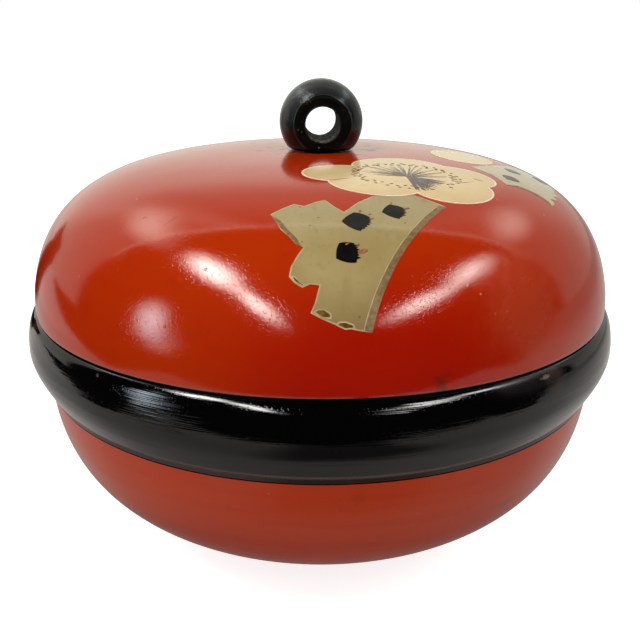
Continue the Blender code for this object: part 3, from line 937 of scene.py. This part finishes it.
def table_white():
    finish = Finish(bpy.data.materials.new("table_white"))
    grain = finish.noise(6.0, detail=3.0)
    turn = {"Vector": finish.place(), "Rotation": (0, 0, math.radians(CAMERA_TURN))}
    right, away, _ = finish.axes(finish.add("ShaderNodeMapping", {"vector_type": "TEXTURE"}, turn))
    # The mirrored table ends in front and at both sides, and a doorway leaves a dark lane on it.
    front = away.ramp(-0.268, -0.246)
    left_side = 0.29 + 1.4 * (away + 0.10).at_least(0.0)
    right_side = 0.345 + 9.0 * (away + 0.148).at_least(0.0)
    beside = (right + left_side).ramp(-0.012, 0.012) * (right_side - right).ramp(-0.012, 0.012)
    doorway = (right / away.at_least(0.05) + 1.0).size().ramp(0.22, 0.18) * away.ramp(0.22, 0.30)
    # Its mirrored white is dim under the bowl as a painted shadow of it, darker in front of it, and paler
    # further out.
    out = (right * right + away * away) ** 0.5
    sheet = 0.18 + out.ramp(0.085, 0.125) * 0.20 + out.ramp(0.125, 0.30) * 0.18
    sheet = sheet - right.ramp(0.3, 0.9) * 0.25 + right.ramp(-0.34, -0.42) * 0.14
    sheet = sheet + away.ramp(-0.07, -0.01) * out.ramp(0.32, 0.26) * 0.12
    sheet = sheet * (1 - away.ramp(-0.113, -0.148) * (right - 0.025).size().ramp(0.09, 0.035) * 0.8)
    sheet = front * beside * (1 - doorway) * sheet + 0.006
    # A window lights a lane of it far out on the left.
    along = (right + 0.046) * -0.870 + (away + 0.094) * -0.493
    aside = (right + 0.046) * 0.493 + (away + 0.094) * -0.870
    window = along.ramp(0.6, 1.8) * (aside / along.at_least(0.05)).size().ramp(0.17, 0.03) * 2.2
    # The camera sees plain white, the lacquer mirrors what is drawn, other light meets a duller white.
    colour = finish.blend(grain, (0.80, 0.80, 0.80), (0.84, 0.84, 0.84))
    rays = finish.add("ShaderNodeLightPath", output="Is Camera Ray")
    mirrored = Tone(finish, rays.socket.node.outputs["Is Glossy Ray"])
    colour = finish.blend((1 - rays) * 0.28, colour, (0.0, 0.0, 0.0))
    colour = finish.blend(mirrored, colour, (0.0, 0.0, 0.0))
    matt = finish.add("ShaderNodeBsdfDiffuse", {}, {"Color": colour})
    strength = rays * 0.78 + mirrored * (sheet + window)
    tint = finish.blend(mirrored, (1.0, 1.0, 1.0), (1.0, 0.95, 0.90))
    shine = finish.add("ShaderNodeEmission", {}, {"Color": tint, "Strength": strength})
    both = finish.add("ShaderNodeAddShader", {}, {0: matt, 1: shine})
    finish.add("ShaderNodeOutputMaterial", {}, {"Surface": both})
    return finish.owner


bm = bmesh.new()
bmesh.ops.create_circle(bm, cap_ends=True, radius=6.0, segments=96)
mesh = bpy.data.meshes.new("table_top")
bm.to_mesh(mesh)
bm.free()
mesh.materials.append(table_white())
table = bpy.data.objects.new("table_top", mesh)
bpy.context.scene.collection.objects.link(table)

world = bpy.data.worlds.new("studio")
bpy.context.scene.world = world
sky = Finish(world)
heading = sky.add("ShaderNodeTexCoord", output="Generated")
turn = {"Vector": heading, "Rotation": (0, 0, math.radians(CAMERA_TURN))}
right, away, up = sky.axes(sky.add("ShaderNodeMapping", {"vector_type": "TEXTURE"}, turn))
# The wall stands behind the bowl, with a doorway at the left, and dims towards its middle and its sides.
reach = away.at_least(0.02)
sideways = right / reach
rise = up / reach
doorway = (sideways + 1.0).size().ramp(0.22, 0.18) * rise.ramp(0.22, 0.16)
top = rise - sideways.size().at_most(2.0) * 0.15
wall = away.above(0.02) * sideways.size().ramp(5.0, 3.4) * top.ramp(2.42, 2.34) * (1 - doorway)
middle = (1 - sideways.ramp(-0.40, -0.75)) * (1 - sideways.ramp(0.2, 0.8) * 0.9)
shade = 0.92 - middle * (rise.ramp(0.42, 0.80) * 0.42 + rise.ramp(0.9, 1.8) * 0.20)
shade = shade - sideways.ramp(-0.7, -1.1) * 0.30
shade = shade - sideways.ramp(0.1, 0.6) * 0.30 - sideways.ramp(0.6, 1.3) * 0.16
shade = shade + top.ramp(2.06, 2.16) * 1.2


def glow(turn, height, wide, tall, lean, strength):
    """A soft oval light: its turn from straight back, its height, half sizes and lean, in degrees."""
    turned_to = Matrix.Rotation(math.radians(-turn), 3, "Z") @ Matrix.Rotation(math.radians(height), 3, "X")
    turned_to = turned_to @ Matrix.Rotation(math.radians(-lean), 3, "Y")
    side, toward, over = turned_to.transposed()
    facing, beside, above = [right * axis.x + away * axis.y + up * axis.z for axis in (toward, side, over)]
    beside = beside / math.sin(math.radians(wide))
    above = above / math.sin(math.radians(tall))
    return ((beside * beside + above * above) ** 0.5).ramp(1.0, 0.0) * facing.above(0.0) * strength


# Two faint lights at the back, a cold window low on the left, and two strips over each side of the front.
cold = glow(-119, 6, 22, 30, 0, 1.0)
soft_lights = [
    (-53, 45, 22, 10, -25, 3.3),
    (50, 38, 20, 9.5, 22, 2.1),
    (-115, 11.5, 10.5, 16, 0, 10.0),
    (-119, -1, 14, 17, 0, 3.0),
    (-117.5, 53.5, 23, 8.4, 23, 33.0),
    (-153, 36.3, 24, 5.2, 49, 27.0),
    (103, 43.5, 20.5, 8.0, -12, 14.5),
    (137, 33.5, 26, 6.4, -25, 18.5),
]
mirrored = wall * shade + 0.004
for measures in soft_lights:
    mirrored = mirrored + glow(*measures)
rays = sky.add("ShaderNodeLightPath", output="Is Camera Ray")
glossy = Tone(sky, rays.socket.node.outputs["Is Glossy Ray"])
tint = sky.blend(wall, (1.0, 0.985, 0.97), (1.0, 0.985, 0.87))
tint = sky.blend(cold, tint, (0.78, 0.96, 1.12))
fill = 0.13 + up.ramp(-0.1, 0.9) * 0.40 + right.ramp(-0.3, -1.0) * 0.25
level = rays + (1 - rays) * (glossy * mirrored + (1 - glossy) * fill)
colour = sky.blend(glossy, (1, 1, 1), tint)
shown = sky.add("ShaderNodeBackground", {}, {"Color": colour, "Strength": level})
sky.add("ShaderNodeOutputWorld", {}, {"Surface": shown})
world.cycles.sampling_method = "NONE"


def lamp(name, place, aim, size, brightness):
    """A flat lamp of this size in metres, facing aim, with a surface so many times as bright as white."""
    light = bpy.data.lights.new(name, "AREA")
    light.shape = "RECTANGLE"
    light.size, light.size_y = size
    light.energy = brightness * math.pi * size[0] * size[1]
    piece = bpy.data.objects.new(name, light)
    piece.visible_glossy = False
    bpy.context.scene.collection.objects.link(piece)
    place, aim = studio @ Vector(place), studio @ Vector(aim)
    out = (place - aim).normalized()
    length = (studio @ Vector((0, 1, 0, 0))).to_3d()
    across = length.cross(out).normalized()
    length = out.cross(across)
    piece.matrix_world = Matrix.Translation(place) @ Matrix((across, length, out)).transposed().to_4x4()


lamp("strip_left_far", (-0.80, -0.60, 1.32), (0, -0.10, 0.12), (0.17, 0.74), 25.0)
lamp("strip_left_near", (-0.80, -1.60, 1.32), (0, -0.40, 0.12), (0.11, 1.05), 11.0)
lamp("strip_right_far", (1.17, -0.46, 1.32), (0, -0.10, 0.12), (0.18, 0.80), 12.0)
lamp("strip_right_near", (1.17, -1.50, 1.32), (0, -0.40, 0.12), (0.10, 1.30), 10.0)

camera = bpy.data.cameras.new("camera")
camera.lens = 45.6
camera.sensor_width = 36.0
camera.clip_start = 0.01
viewpoint = bpy.data.objects.new("camera", camera)
viewpoint.location = CAMERA_PLACE
aim = (Vector(CAMERA_AIM) - Vector(CAMERA_PLACE)).to_track_quat("-Z", "Y").to_matrix()
viewpoint.rotation_euler = (aim @ Matrix.Rotation(math.radians(CAMERA_ROLL), 3, "Z")).to_euler()
bpy.context.scene.collection.objects.link(viewpoint)
bpy.context.scene.camera = viewpoint
bpy.context.scene.view_settings.view_transform = "Standard"

bpy.context.view_layer.update()
